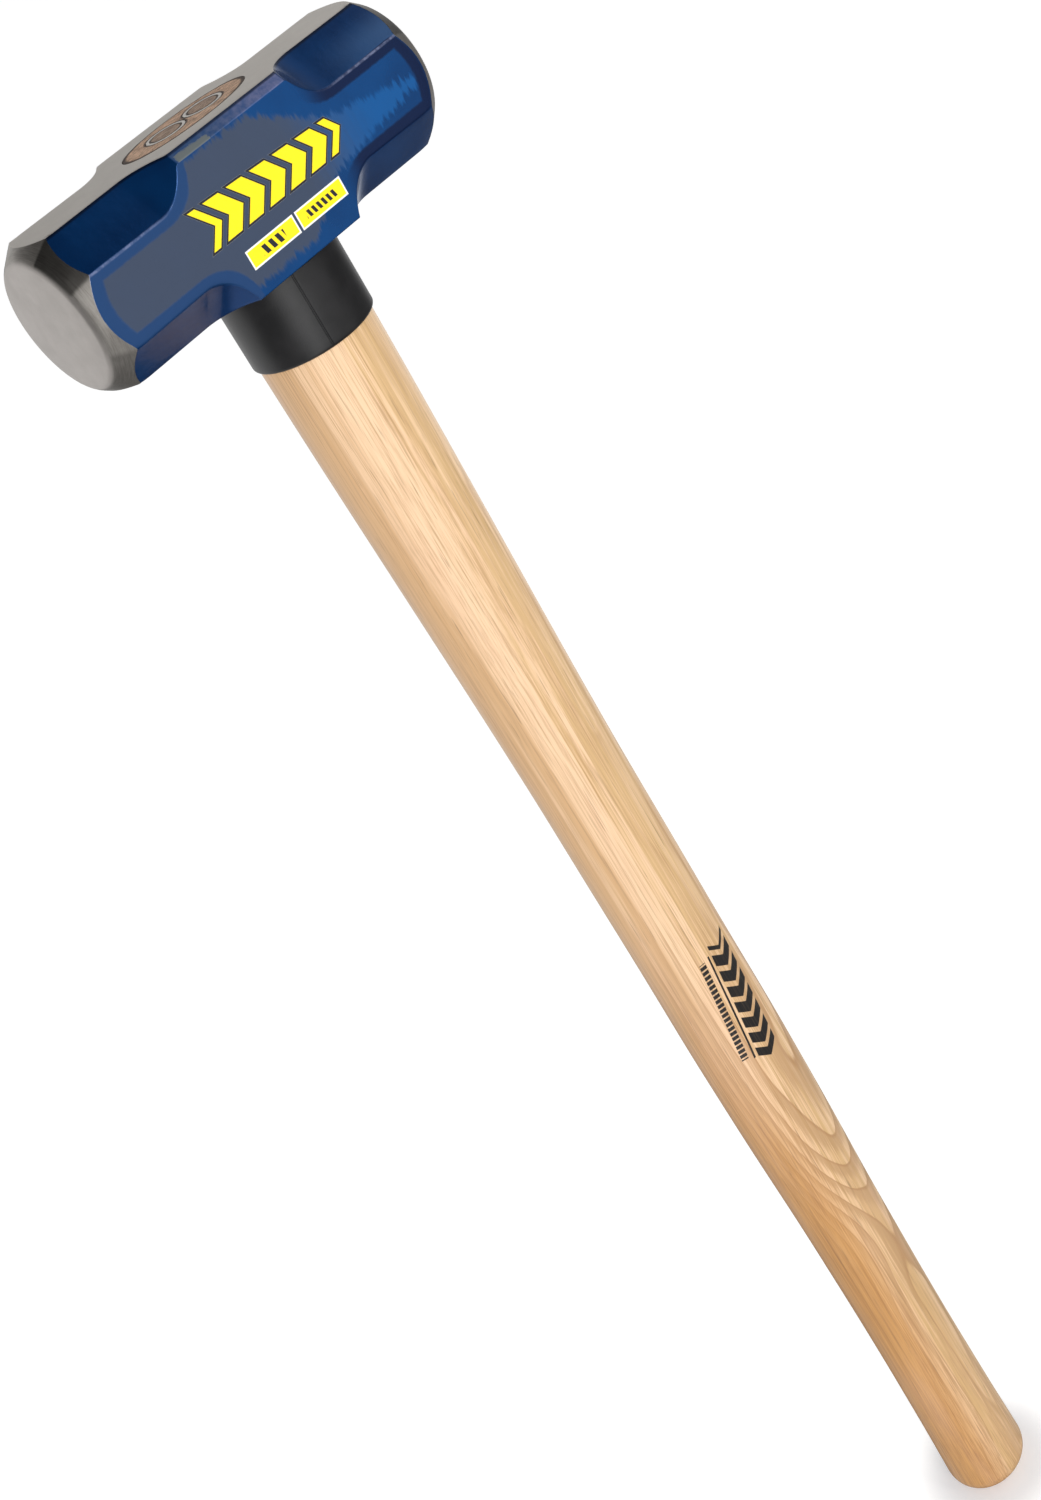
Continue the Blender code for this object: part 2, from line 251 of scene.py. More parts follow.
def eye_sections(inset, overrun, steps=12):
    """The eye from its straight lower part to the flared top, drawn in by an inset all round."""
    low = (EYE_BOTTOM[0] - inset, EYE_BOTTOM[1] - inset)
    high = (EYE_TOP[0] - inset, EYE_TOP[1] - inset)
    sections = [(head_low.z - overrun, *low)]
    for i in range(steps + 1):
        ease = (i / steps) ** EYE_FLARE_POWER
        z = HEAD_TOP - EYE_FLARE_HEIGHT * (1 - i / steps)
        sections.append((z, low[0] + (high[0] - low[0]) * ease, low[1] + (high[1] - low[1]) * ease))
    if overrun:
        sections.append((HEAD_TOP + overrun, *high))
    return sections


right_half = half_head()
left_half = [ring * np.array([-1.0, 1.0, 1.0]) for ring in right_half[:0:-1]]
head_bm = skin(left_half + right_half)
bmesh.ops.translate(head_bm, vec=(0.0, 0.0, HEAD_Z), verts=head_bm.verts)
head = add_piece("forged_head", head_bm)

eye_tool = add_piece("eye_tool", skin(oval_rings(eye_sections(0.0, 1.0 * MM), 96)))
eye_cut = head.modifiers.new("eye", "BOOLEAN")
eye_cut.operation = "DIFFERENCE"
eye_cut.solver = "EXACT"
eye_cut.object = eye_tool
settle(head, 30.0)
bpy.data.objects.remove(eye_tool, do_unlink=True)


class Wire:
    """A shader socket.  Python's operators on it add the Math nodes that work out the result."""

    def __init__(self, tree, socket):
        self.tree, self.socket = tree, socket

    def node(self, kind, settings=None, inputs=None, output=0):
        """Add a node, set its settings, then give its sockets values or other wires."""
        made = self.tree.nodes.new(kind)
        for key, value in (settings or {}).items():
            setattr(made, key, value)
        for key, value in (inputs or {}).items():
            if isinstance(value, Wire):
                self.tree.links.new(value.socket, made.inputs[key])
            else:
                made.inputs[key].default_value = value
        return Wire(self.tree, made.outputs[output])

    def math(self, operation, first, second=0.0):
        return self.node("ShaderNodeMath", {"operation": operation}, {0: first, 1: second})

    def __add__(self, other):
        return self.math("ADD", self, other)

    def __radd__(self, other):
        return self.math("ADD", other, self)

    def __sub__(self, other):
        return self.math("SUBTRACT", self, other)

    def __rsub__(self, other):
        return self.math("SUBTRACT", other, self)

    def __mul__(self, other):
        return self.math("MULTIPLY", self, other)

    def __rmul__(self, other):
        return self.math("MULTIPLY", other, self)

    def __truediv__(self, other):
        return self.math("DIVIDE", self, other)

    def __pow__(self, other):
        return self.math("POWER", self, other)

    def __neg__(self):
        return self.math("MULTIPLY", self, -1.0)

    def __abs__(self):
        return self.math("ABSOLUTE", self)

    def __gt__(self, other):
        return self.math("GREATER_THAN", self, other)

    def __lt__(self, other):
        return self.math("LESS_THAN", self, other)

    def least(self, other):
        return self.math("MINIMUM", self, other)

    def most(self, other):
        return self.math("MAXIMUM", self, other)

    def root(self):
        return self.math("SQRT", self)

    def fraction(self):
        return self.math("FRACT", self)

    def eased(self, low, high):
        """0 below low, 1 above high, and a smooth rise between."""
        settings = {"interpolation_type": "SMOOTHSTEP"}
        return self.node("ShaderNodeMapRange", settings, {"Value": self, "From Min": low, "From Max": high})

    def mix(self, first, second):
        """Two colours mixed by this wire."""
        colours = [c if isinstance(c, Wire) else (*c, 1.0) for c in (first, second)]
        made = self.tree.nodes.new("ShaderNodeMix")
        made.data_type = "RGBA"
        self.tree.links.new(self.socket, made.inputs[0])
        for socket, colour in zip((made.inputs[6], made.inputs[7]), colours):
            if isinstance(colour, Wire):
                self.tree.links.new(colour.socket, socket)
            else:
                socket.default_value = colour
        return Wire(self.tree, made.outputs[2])

    def parts(self):
        """The three parts of a vector."""
        split = self.node("ShaderNodeSeparateXYZ", {}, {0: self})
        return [Wire(self.tree, output) for output in split.socket.node.outputs]

    def noise(self, scales, detail=2.0, roughness=0.5):
        """Noise from 0 to 1 on this vector, in cycles per millimetre along each axis."""
        scaled = self.node("ShaderNodeVectorMath", {"operation": "MULTIPLY"}, {0: self, 1: scales})
        values = {"Vector": scaled, "Scale": 1.0, "Detail": detail, "Roughness": roughness}
        return self.node("ShaderNodeTexNoise", {}, values)

    def bump(self, strength, distance):
        """A normal that this height leans."""
        return self.node("ShaderNodeBump", {}, {"Height": self, "Strength": strength, "Distance": distance})


def new_finish(name, origin):
    """A material, its Principled shader, and a wire with the place in millimetres from an origin."""
    material = bpy.data.materials.new(name)
    material.use_nodes = True
    tree = material.node_tree
    shader = tree.nodes["Principled BSDF"]
    coordinates = Wire(tree, tree.nodes.new("ShaderNodeTexCoord").outputs["Object"])
    moved = coordinates.node("ShaderNodeVectorMath", {"operation": "SUBTRACT"}, {0: coordinates, 1: origin})
    place = moved.node("ShaderNodeVectorMath", {"operation": "SCALE"}, {0: moved, "Scale": 1000.0})
    return material, shader, place


def feed(shader, **wires):
    for name, wire in wires.items():
        socket = shader.inputs[name.replace("_", " ")]
        if isinstance(wire, Wire):
            wire.tree.links.new(wire.socket, socket)
        else:
            socket.default_value = wire


def chevron_band(across, along, low, high, top_slope, ends, pitch, bar):
    """Masks for a row of chevrons between two edges: the bars, and the bars with their dark outline."""
    middle = (low + high) / 2
    slanted = across + abs(along - middle) * 0.8
    bars = abs((slanted / pitch).fraction() - 0.5) * pitch
    inside = (high - across * top_slope - along).least(along - low)
    length = (slanted - ends[0]).least(ends[1] - slanted)
    solid = (bar / 2 - bars).least(inside).least(length)
    return solid.eased(0.0, 0.12), (solid + 0.75).eased(0.0, 0.12)


def tag_box(across, along, left, right, low, high):
    """How far inside a rectangle a place is, in millimetres."""
    return (across - left).least(right - across).least(along - low).least(high - along)


material, shader, place = new_finish("head_finish", (0.0, 0.0, HEAD_Z))
x, y, z = place.parts()
radius = (y * y + z * z).root()
past_face = radius.most(FACE_RADIUS / MM) - FACE_RADIUS / MM
cone = abs(x) + past_face * CONE_RUN - (HALF_LENGTH - FACE_CROWN) / MM
ragged = place.noise((0.9, 0.9, 0.9), 3.0) - 0.5
ground_end = (cone + ragged * 0.25).eased(-0.22, -0.08)
ground_top = z.eased(HALF_HEIGHT / MM - 0.09, HALF_HEIGHT / MM - 0.05)
ground_face = (FACE_RADIUS / MM + 0.8 - radius).eased(0.0, 1.2) * (abs(x) > 70.0)
ground_end = ground_end.most(abs(x) > 75.0)

worn_noise = place.noise((0.45, 0.45, 0.8), 4.0, 0.65) - 0.5
chamfer_sum = HALF_WIDTH / MM + HALF_HEIGHT / MM - TOP_EDGE_CHAMFER / MM
on_chamfer = (abs(y) + z).eased(chamfer_sum - 0.5, chamfer_sum - 0.2) * (1.0 - abs(x).eased(26.0, 29.0))
worn = (-9.5 - x + worn_noise * 10.0).eased(0.0, 0.8) * (x + 23.6 + worn_noise * 3.0).eased(0.0, 0.8)
worn_height = z + y * 0.25 + x * 0.045 + worn_noise * 1.8
worn = worn * (1.0 - worn_height.eased(17.9, 18.5)) * on_chamfer * (y < 0.0)

grain = place.noise((14.0, 14.0, 14.0), 3.0)
angle = z.math("ARCTAN2", z, y)
turned_place = x.node("ShaderNodeCombineXYZ", {}, {0: x * 6.0, 1: radius * 6.0, 2: angle * 5.0})
turning = turned_place.noise((1.0, 1.0, 1.0), 4.0, 0.6)
mottle = place.noise((0.16, 0.16, 0.16), 3.0)
top_lines = place.noise((0.35, 9.0, 0.5), 3.0, 0.6)

steel_top = (top_lines * 0.4 + mottle * 0.4 + x * 0.003).mix((0.55, 0.515, 0.47), STEEL_TOP)
raised = z.math("ARCTAN2", z, abs(y)) * DEGREES
# Painted shade: the bare end cones are scaled darker round the bevels and a little lighter on top, by their
# angle round the head.
facet_shade = 0.95 - raised.eased(24.0, 28.0) * 0.64 + raised.eased(63.5, 66.5) * 0.80
facet_shade = facet_shade - (0.0 - raised).eased(25.0, 31.0) * 0.34
steel_cone = (turning * 0.7 + mottle * 0.3).eased(0.3, 0.75).mix((0.27, 0.25, 0.23), STEEL_CONE)
steel_cone = steel_cone.node("ShaderNodeVectorMath", {"operation": "SCALE"}, {0: steel_cone, "Scale": facet_shade})
steel_face = (grain * 0.5 + mottle * 0.5).eased(0.3, 0.7).mix((0.46, 0.43, 0.405), STEEL_FACE)
steel = ground_face.mix(ground_top.mix(steel_cone, steel_top), steel_face)

cheek = (abs(y) - HALF_WIDTH / MM).eased(-0.30, -0.12)
depth = place.noise((0.05, 0.05, 0.05), 2.0)
# Away from the cheeks the blue is darker: painted shade on the bevels, chamfers and underside, with a random
# tone in the paint.
paint = (depth.eased(0.3, 0.7) * 0.4 + cheek * 0.6).mix(BLUE_PAINTED_SHADE, BLUE)

# A painted reflection lies over the middle of each cheek in a wedge, grey towards the left and bright blue
# towards the right, and stops short of the cheek's edges.
run = ((SCOOP_START / MM - abs(x)) / (SCOOP_RADIUS / MM)).most(0.0).least(1.0)
leg = (BEVEL_DEPTH / MM - (1.0 - (1.0 - run * run).root()) * (SCOOP_RADIUS / MM)) * math.sqrt(2)
to_bevel = (HALF_HEIGHT / MM - leg - abs(z)) / (1.0 + run * run * 1.6)
to_edge = to_bevel.least((0.0 - cone) * 0.75)
frame_noise = place.noise((0.6, 0.6, 0.6), 2.0) - 0.5
# Painted reflection bands run along the cheek's edges, lighter towards the left end and darker towards the
# right end.
reflection_band = 1.0 - (to_edge + frame_noise * 0.5).eased(3.0, 3.9)
paint = (reflection_band * cheek * (1.0 - x.eased(-26.0, -6.0)) * 0.9).mix(paint, BLUE_REFLECTION_BAND_LIGHT)
paint = (reflection_band * cheek * x.eased(24.0, 36.0)).mix(paint, BLUE_REFLECTION_BAND_DARK)
teeth = place.noise((0.75, 0.2, 0.11), 3.0, 0.6) - 0.5
upper = (24.5 - (x - 3.0) * 0.62).most(7.5 - (x - 30.0) * 0.2).least(23.6)
lower = ((x - 7.0) * 0.62 - 22.5).least((x - 26.0) * 0.13 - 10.5).most(-24.0)
wedge = (upper - z).least(z - lower) + teeth * (5.0 + x.eased(-30.0, 30.0) * 5.0)
# Painted reflection in the middle of each cheek.
cheek_reflection = wedge.eased(-0.4, 2.2) * (1.0 - reflection_band) * cheek
cheek_reflection_colour = (x + teeth * 8.0).eased(12.0, 50.0).mix(REFLECTION_GREY, REFLECTION_BLUE)
paint = (cheek_reflection * 0.92).mix(paint, cheek_reflection_colour)

front = y < 0.0
bars, outlined = chevron_band(x, z, -5.4, 7.8, 0.053, (-24.2, 34.0), 9.75, 6.6)
tag_1 = tag_box(x, z, -20.2, 1.7, -18.1, -11.3)
tag_2 = tag_box(x, z, 2.6, 24.2, -18.1, -11.3)
tags = tag_1.most(tag_2)
middle_line = abs(z + 14.7)
leaning = x + z * 0.3
dash_1 = abs((leaning / 3.1).fraction() - 0.5) * 3.1 - 0.95
dash_1 = dash_1.most(middle_line - 1.7).most(abs(x + 9.2) - 5.4)
dash_2 = abs((leaning / 2.3).fraction() - 0.5) * 2.3 - 0.72
dash_2 = dash_2.most(middle_line - 1.35).most(abs(x - 13.4) - 7.2)
decal = outlined.most(tags.eased(0.0, 0.12)) * front * cheek
paint_marks = outlined.mix((0.9, 0.9, 0.88), INK)
paint_marks = bars.mix(paint_marks, YELLOW)
paint_marks = tags.eased(0.55, 0.67).mix(paint_marks, YELLOW)
dashes = (0.0 - dash_1.least(dash_2)).eased(0.0, 0.12)
paint_marks = dashes.mix(paint_marks, INK)
paint = decal.mix(paint, paint_marks)
# Painted reflection: the front upper bevel of the right arm is lighter.
arm_reflection = x.eased(34.0, 66.0) * (1.0 - cheek) * z.eased(4.0, 12.0) * (25.0 - z).eased(0.0, 9.0)
arm_reflection = arm_reflection * 0.55 * (y < 0.0)
paint = arm_reflection.mix(paint, REFLECTION_BEVEL)
polish_noise = place.noise((0.5, 0.5, 0.5), 3.0)
# The block's top chamfers are lighter, blue at the left to lilac at the right: partly paint worn thin by
# polishing, partly a painted sheen.
polished_and_sheen = on_chamfer * (0.55 + polish_noise.eased(0.3, 0.7) * 0.45)
paint = polished_and_sheen.mix(paint, (x + polish_noise * 20.0).eased(-6.0, 34.0).mix(EDGE_BLUE, EDGE_LILAC))
past_edge = abs(z) - (HALF_HEIGHT / MM - leg)
# Painted highlight: a thin light line along the upper edges between the cheeks and the bevels of the arms.
edge_glint = (1.0 - abs(past_edge + 0.15).eased(0.15, 0.65)) * (abs(x) > 24.5) * (z > 0.0) * (1.0 - ground_end)
edge_glint = edge_glint * (0.22 + polish_noise.eased(0.35, 0.6) * 0.34) * abs(x).eased(28.0, 50.0)
paint = edge_glint.mix(paint, GLINT)
# Painted shade: a dark line in the paint along the top, just under the ground top face.
top_edge_shade = z.eased(HALF_HEIGHT / MM - 1.0, HALF_HEIGHT / MM - 0.5)
paint = (top_edge_shade * 0.85).mix(paint, (0.002, 0.008, 0.030))
bare_strip = worn.mix(paint, BARE_STRIP)
bare = ground_end.most(ground_top).most(ground_face)
colour = bare.mix(bare_strip, steel)

peel = place.noise((0.33, 0.33, 0.33), 2.0, 0.55)
peel_fine = place.noise((1.1, 1.1, 1.1), 2.0, 0.5)
paint_height = (peel * 0.75 + peel_fine * 0.12) * (1.0 - bare)
steel_height = (turning * 0.5 + grain * 0.25) * bare
lit_normal = (paint_height * 0.13 + steel_height * 0.05).bump(1.0, MM)
grey_cheek_reflection = cheek_reflection * (1.0 - x.eased(12.0, 46.0) * 0.75)
flake = (1.0 - decal.most(grey_cheek_reflection * 0.8).most(on_chamfer * 0.8).most(arm_reflection).most(edge_glint)) * 0.68
feed(
    shader, Base_Color=colour, Metallic=bare * 0.95 + (1.0 - bare) * flake,
    Roughness=bare * (0.36 + turning * 0.16) + (1.0 - bare) * (0.24 + worn * 0.3), Normal=lit_normal,
    Coat_Weight=(1.0 - bare.most(worn)) * 0.28)
shader.inputs["Coat Roughness"].default_value = 0.06
head.data.materials.clear()
head.data.materials.append(material)
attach(head, "root")
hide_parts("head")

# ---- Handle -------------------------------------------------------------------------------------
# One turned hickory handle, oval at the grip and round under the head, with a rounded butt.
# It is sanded and clear varnished.  Its tongue fills the eye, where the end grain shows, and a small
# mark is printed on its front.
handle_low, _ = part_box("handle")
BUTT_Z = handle_low.z
GAP = 0.3 * MM
SHOULDER_HEIGHT = 12.0 * MM
SHOULDER_DROP = 2.0 * MM
HANDLE_SECTIONS = [
    (18.0, 21.0, 19.0), (47.0, 20.3, 18.3), (104.0, 19.5, 17.5), (144.0, 19.3, 17.4),
    (208.0, 19.6, 17.6), (268.0, 20.7, 18.6), (325.0, 21.0, 19.0), (377.0, 20.4, 18.7),
    (427.0, 20.3, 18.8), (474.0, 20.0, 18.8), (519.0, 20.3, 19.4), (561.0, 20.9, 20.3),
    (601.0, 21.5, 21.0), (639.0, 22.0, 21.8), (680.0, 22.3, 22.3),
]
BUTT_ROUND = 13.0 * MM
BUTT_SECTION = (21.1 * MM, 19.1 * MM)
EASING_REACH = 24.0 * MM
EVEN_FROM = 36.0 * MM
WOOD_PALE = (0.820, 0.560, 0.342)
WOOD_TAN = (0.650, 0.400, 0.200)
WOOD_HONEY = (0.640, 0.415, 0.192)
WOOD_FAR = (0.930, 0.665, 0.420)
WOOD_MID = (0.440, 0.250, 0.110)
WOOD_GOLD = (0.590, 0.290, 0.075)
WOOD_AMBER = (0.340, 0.140, 0.034)
PORE = (0.190, 0.100, 0.045)
RING_SPACING = 3.0                  # millimetres between growth rings


def handle_width(height):
    """Half widths averaged over a stretch of the handle, so the listed sections leave no corners."""
    known = np.array(HANDLE_SECTIONS) * MM
    window = np.linspace(-EASING_REACH, EASING_REACH, 9)
    weights = np.cos(window / EASING_REACH * math.pi / 2 * 0.9)
    values = [weights @ np.interp(height + window, known[:, 0], known[:, k]) for k in (1, 2)]
    return tuple(float(v / weights.sum()) for v in values)


def handle_sections():
    sections = []
    flat = (BUTT_SECTION[0] - BUTT_ROUND, BUTT_SECTION[1] - BUTT_ROUND)
    for i in range(18):
        turn = math.pi / 2 * i / 18
        grown = BUTT_ROUND * math.sin(turn)
        sections.append((BUTT_Z + BUTT_ROUND * (1 - math.cos(turn)), flat[0] + grown, flat[1] + grown))
    sections.append((BUTT_Z + BUTT_ROUND, *BUTT_SECTION))
    shoulder_start = head_low.z - BUTT_Z - SHOULDER_HEIGHT - SHOULDER_DROP
    for height in np.linspace(EVEN_FROM, shoulder_start, 90):
        sections.append((BUTT_Z + float(height), *handle_width(height)))
    wide = sections[-1][1:]
    low = (EYE_BOTTOM[0] - GAP, EYE_BOTTOM[1] - GAP)
    for i in range(1, 13):
        ease = 0.5 - 0.5 * math.cos(math.pi * i / 12)
        height = BUTT_Z + shoulder_start + SHOULDER_HEIGHT * i / 12
        sections.append((height, wide[0] + (low[0] - wide[0]) * ease, wide[1] + (low[1] - wide[1]) * ease))
    return sections


RING_CENTRES = {"ring_wedge_left": (-7.7 * MM, 1.0 * MM), "ring_wedge_right": (9.1 * MM, 1.0 * MM)}
RING_RADIUS = 7.4 * MM
RING_WALL = 1.2 * MM
RING_EDGE = 0.5 * MM
RING_DEPTH = 19.0 * MM
RING_STEPS = 72


def ring_tree():
    """Nodes that sweep a tapered wall round a circle: thick at the top, thin at the driven edge."""
    tree = bpy.data.node_groups.new("driven_ring", "GeometryNodeTree")
    sizes = {
        "Centre": "NodeSocketVector", "Radius": "NodeSocketFloat", "Half Wall Top": "NodeSocketFloat",
        "Half Wall Edge": "NodeSocketFloat", "Depth": "NodeSocketFloat", "Steps": "NodeSocketInt",
        "Finish": "NodeSocketMaterial",
    }
    for name, kind in sizes.items():
        tree.interface.new_socket(name, in_out="INPUT", socket_type=kind)
    tree.interface.new_socket("Ring", in_out="OUTPUT", socket_type="NodeSocketGeometry")
    given = tree.nodes.new("NodeGroupInput")
    size = {name: Wire(tree, given.outputs[name]) for name in sizes}
    top, edge, depth = size["Half Wall Top"], size["Half Wall Edge"], size["Depth"]
    round_inputs = {"Radius": size["Radius"], "Resolution": size["Steps"]}
    circle = top.node("GeometryNodeCurvePrimitiveCircle", {"mode": "RADIUS"}, round_inputs)
    corners = {}
    for i, (out, down) in enumerate([(top, 0.0), (edge, depth), (-edge, depth), (-top, 0.0)], 1):
        corners[f"Point {i}"] = top.node("ShaderNodeCombineXYZ", {}, {0: out, 1: down})
    wall = top.node("GeometryNodeCurvePrimitiveQuadrilateral", {"mode": "POINTS"}, corners)
    swept = circle.node("GeometryNodeCurveToMesh", {}, {"Curve": circle, "Profile Curve": wall})
    placed = swept.node("GeometryNodeTransform", {}, {"Geometry": swept, "Translation": size["Centre"]})
    whole = placed.node("GeometryNodeRealizeInstances", {}, {"Geometry": placed})
    finished = whole.node("GeometryNodeSetMaterial", {}, {"Geometry": whole, "Material": size["Finish"]})
    tree.links.new(finished.socket, tree.nodes.new("NodeGroupOutput").inputs["Ring"])
    return tree


RING_TREE = ring_tree()


def driven_ring(name, centre, grown=0.0, above=0.0, finish=None):
    """A ring wedge, or the slot it leaves: its wall grown all round and its top raised."""
    ring = add_piece(name, bmesh.new())
    sweep = ring.modifiers.new("driven_ring", "NODES")
    sweep.node_group = RING_TREE
    values = {
        "Centre": (*centre, HEAD_TOP + above), "Radius": RING_RADIUS - RING_WALL / 2, "Finish": finish,
        "Half Wall Top": RING_WALL / 2 + grown, "Half Wall Edge": RING_EDGE / 2 + grown,
        "Depth": RING_DEPTH + grown + above, "Steps": RING_STEPS,
    }
    for socket in RING_TREE.interface.items_tree:
        if socket.in_out == "INPUT" and values[socket.name] is not None:
            sweep[socket.identifier] = values[socket.name]
    settle(ring, SHARP_EDGE)
    return ring


tongue = [s for s in eye_sections(GAP, 0.0) if s[0] > head_low.z + 1 * MM]
handle = add_piece("hickory_handle", skin(oval_rings(handle_sections() + tongue, ROUND_POINTS)))
slots = []
for name, centre in RING_CENTRES.items():
    slots.append(driven_ring(name + "_slot", centre, grown=GAP, above=1.0 * MM))
    cut = handle.modifiers.new(name, "BOOLEAN")
    cut.operation = "DIFFERENCE"
    cut.solver = "EXACT"
    cut.object = slots[-1]
settle(handle, SHARP_EDGE)
for slot in slots:
    bpy.data.objects.remove(slot, do_unlink=True)

material, shader, place = new_finish("varnished_hickory", (0.0, 0.0, HEAD_Z))
x, y, z = place.parts()
drift = place.noise((0.004, 0.004, 0.0035), 2.0) - 0.5
swirl = place.noise((0.035, 0.035, 0.009), 1.5, 0.4) - 0.5
climb = z.eased(-560.0, -410.0) * 12.0 + z * 0.0025
from_pith = ((x + 24.0 + drift * 8.0) ** 2.0 + (y - 60.0) ** 2.0).root() + climb + swirl * 9.0 + drift * 6.0
ring_part = (from_pith / RING_SPACING).fraction()
late_wood = ring_part.eased(0.1, 0.93) * (1.0 - ring_part.eased(0.93, 1.0))
ring_line = ring_part.eased(0.84, 0.95) * (1.0 - ring_part.eased(0.95, 1.0))
figure = 0.20 + 0.80 * (1.0 - abs(z + 480.0).eased(50.0, 170.0)) + 0.25 * (0.0 - z).eased(560.0, 640.0)
fibre = place.noise((1.5, 1.5, 0.012), 5.0, 0.72)
broad = place.noise((0.20, 0.20, 0.0030), 4.0, 0.62)
fine_fibre = place.noise((3.0, 3.0, 0.030), 3.0, 0.65)
pores = place.noise((1.7, 1.7, 0.032), 2.0, 0.5)
warm = place.noise((0.06, 0.06, 0.008), 2.0)
to_butt = (0.0 - z).eased(300.0, 560.0)
# Tone by angle round the handle: tan on the -x side, pale then honey across the front, and light on the +x
# side; partly the wood's own tone, partly painted light and shade.
around_tone_and_shade = x.math("ARCTAN2", x, 0.0 - y) * DEGREES * (1.0 - y.eased(8.0, 17.0))
around_tone_and_shade = around_tone_and_shade + (broad - 0.5) * 130.0 + (fibre - 0.5) * 70.0
wood = around_tone_and_shade.eased(-78.0, -46.0).mix(WOOD_TAN, WOOD_PALE)
wood = around_tone_and_shade.eased(-22.0, 12.0).mix(wood, WOOD_HONEY)
wood = around_tone_and_shade.eased(14.0, 50.0).mix(wood, WOOD_FAR)
wood = (to_butt * 0.10).mix(wood, WOOD_GOLD)
streaks = (fibre * 0.80 + fine_fibre * 0.40 + late_wood * 0.26 * figure).eased(0.56, 0.80)
wood = (streaks * 0.70).mix(wood, WOOD_MID)
amber = broad * 1.2 + fibre * 0.9 + to_butt * 0.44 - (around_tone_and_shade + 42.0) * (0.002 + to_butt * 0.008) - 0.72
amber_share = amber.eased(0.36, 0.80) * (0.45 + to_butt * 0.45)
wood = amber_share.mix(wood, fibre.eased(0.35, 0.75).mix(WOOD_GOLD, WOOD_AMBER))
wood = (warm.eased(0.45, 0.75) * 0.22).mix(wood, (0.80, 0.50, 0.33))
wood = (ring_line * figure * 0.34).mix(wood, WOOD_AMBER)
pore_mask = pores.eased(0.630, 0.680) * (0.45 + (1.0 - ring_part.eased(0.0, 0.5)) * 0.55)
wood = (pore_mask * 0.50).mix(wood, PORE)
end_grain = z.eased(HALF_HEIGHT / MM - 0.6, HALF_HEIGHT / MM - 0.3)
end_pores = place.noise((2.6, 2.6, 1.0), 3.0, 0.7)
end_lines = place.noise((0.28, 2.0, 1.0), 4.0, 0.7)
end_tone = (end_lines * 0.8 + end_pores * 0.35).eased(0.46, 0.70)
end_wood = end_tone.mix((0.80, 0.52, 0.345), (0.21, 0.120, 0.076))
for centre_x in (-7.7, 9.1):
    away = ((x - centre_x) ** 2.0 + (y - 1.0) ** 2.0).root()
    core = 1.0 - away.eased(5.9, 6.3)
    end_wood = (core * 0.70).mix(end_wood, end_tone.mix((0.44, 0.32, 0.235), (0.13, 0.085, 0.062)))
    beside_ring = 1.0 - (abs(away - 6.8) - 0.6).eased(0.55, 1.25)
    end_wood = (beside_ring * 0.92).mix(end_wood, (0.05, 0.034, 0.026))
eye_reach = ((x / (EYE_TOP[0] / MM)) ** 2.0 + (y / (EYE_TOP[1] / MM)) ** 2.0).root()
end_wood = (eye_reach.eased(0.905, 0.955) * 0.92).mix(end_wood, (0.030, 0.018, 0.012))
split_noise = place.noise((0.7, 0.7, 0.7), 2.0) - 0.5
cross_x, cross_y = x - 0.7, y - 1.0
split = abs(cross_x + cross_y * 0.55 + split_noise * 1.2) - 0.22
split = split.least(abs(cross_x - cross_y * 0.75 + split_noise) - 0.16)
split = (1.0 - split.eased(0.0, 0.25)) * (abs(cross_y) < 4.6)
end_wood = split.mix(end_wood, (0.02, 0.014, 0.010))
wood = end_grain.mix(wood, end_wood)

# The printed mark is a row of chevrons with one rule and a line of dashes beside it.
down = 0.0 - z
mark_lean = x + (down - 386.0) * 0.085
print_bars, _ = chevron_band(down, mark_lean, -3.0, 8.6, 0.0, (357.5, 419.0), 8.6, 5.9)
rules = (0.5 - abs(mark_lean + 4.6)).least((down - 357.0).least(414.0 - down)).eased(0.0, 0.12)
small = (0.70 - abs((down / 2.6).fraction() - 0.5) * 1.8).least(1.5 - abs(mark_lean + 8.4))
small = small.least((down - 358.0).least(412.0 - down)).eased(0.0, 0.12)
printed = print_bars.most(rules).most(small) * (y < 0.0) * (0.93 + fine_fibre.eased(0.3, 0.5) * 0.07)
wood = printed.mix(wood, (0.012, 0.011, 0.011))
wood_height = fibre * 0.35 + fine_fibre * 0.2 - pore_mask * 0.4 + end_grain * end_pores * 2.0
ripple = place.noise((0.028, 0.028, 0.009), 2.0)
feed(
    shader, Base_Color=wood, Roughness=0.36 + fibre * 0.10 + end_grain * 0.25,
    Normal=(wood_height * 0.05 + ripple * 0.9).bump(0.6, MM), Coat_Weight=0.34 * (1.0 - end_grain))
shader.inputs["Coat Roughness"].default_value = 0.18
handle.data.materials.clear()
handle.data.materials.append(material)
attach(handle, "root")
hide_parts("handle")

# ---- Ring wedges --------------------------------------------------------------------------------
# Two short tapered steel tubes, driven into the top of the handle side by side to spread it in the
# flared eye, and ground flush with the head.
material, shader, place = new_finish("wedge_finish", (0.0, 0.0, HEAD_Z))
speckle = place.noise((5.0, 5.0, 5.0), 3.0)
feed(
    shader, Base_Color=speckle.eased(0.3, 0.7).mix((0.66, 0.62, 0.57), (0.88, 0.84, 0.79)), Metallic=0.75,
    Roughness=0.38 + speckle * 0.15, Normal=(speckle * 0.04).bump(1.0, MM))
for name, centre in RING_CENTRES.items():
    ring = driven_ring(name.replace("ring_wedge", "ring"), centre, finish=material)
    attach(ring, "root")
    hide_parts(name)

